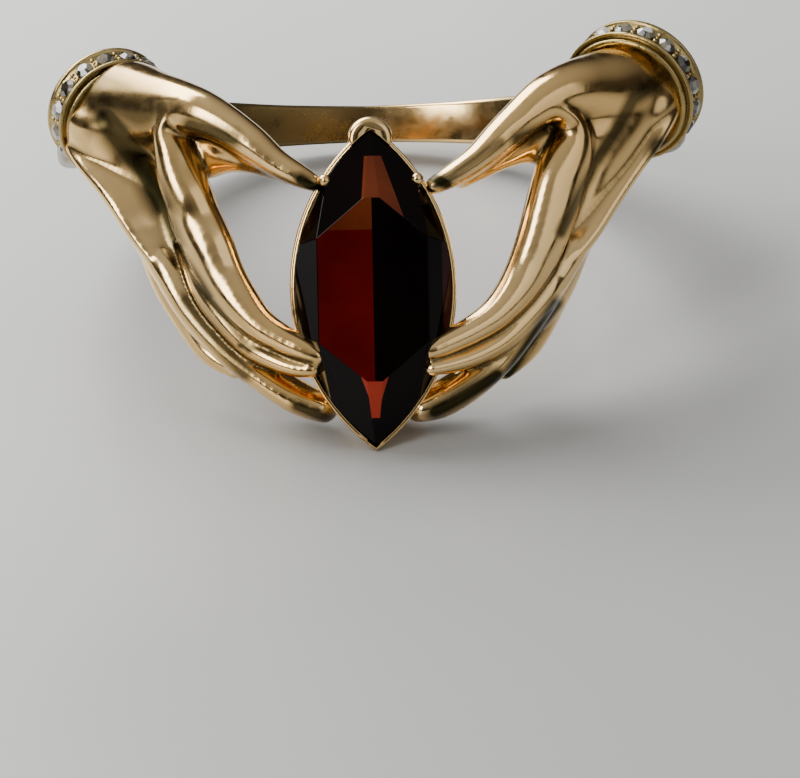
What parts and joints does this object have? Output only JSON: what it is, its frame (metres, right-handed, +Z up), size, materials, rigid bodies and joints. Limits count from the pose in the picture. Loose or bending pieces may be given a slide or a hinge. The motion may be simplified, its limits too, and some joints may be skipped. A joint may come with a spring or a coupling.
{
  "type": "two hands ring with a marquise stone",
  "caption": "Gold finger ring: two cast hands reach from jewelled cuffs and hold an upright marquise garnet.",
  "frame": {"origin": "on the surface that the ring lies on, under the middle of its outline", "axes": "+Z up with the ring lying as it rests by itself, on its fingertips and the back of its shank; -Y towards the stone's face, the left hand at -X"},
  "size_m": [0.0218, 0.0238, 0.0107],
  "materials": {
    "gold": "polished cast gold, worn and tarnished in the grooves",
    "garnet": "polished facets, deep red",
    "cuff_stone": "polished facets, clear"
  },
  "bodies": {
    "root": {"gold_ring": "gold", "garnet": "garnet", "cuff_stone_left_01": "cuff_stone", "cuff_stone_left_02": "cuff_stone", "cuff_stone_left_03": "cuff_stone", "cuff_stone_left_04": "cuff_stone", "cuff_stone_left_05": "cuff_stone", "cuff_stone_left_06": "cuff_stone", "cuff_stone_left_07": "cuff_stone", "cuff_stone_left_08": "cuff_stone", "cuff_stone_left_09": "cuff_stone", "cuff_stone_left_10": "cuff_stone", "cuff_stone_left_11": "cuff_stone", "cuff_stone_right_01": "cuff_stone", "cuff_stone_right_02": "cuff_stone", "cuff_stone_right_03": "cuff_stone", "cuff_stone_right_04": "cuff_stone", "cuff_stone_right_05": "cuff_stone", "cuff_stone_right_06": "cuff_stone", "cuff_stone_right_07": "cuff_stone", "cuff_stone_right_08": "cuff_stone", "cuff_stone_right_09": "cuff_stone", "cuff_stone_right_10": "cuff_stone", "cuff_stone_right_11": "cuff_stone"}
  },
  "joints": []
}
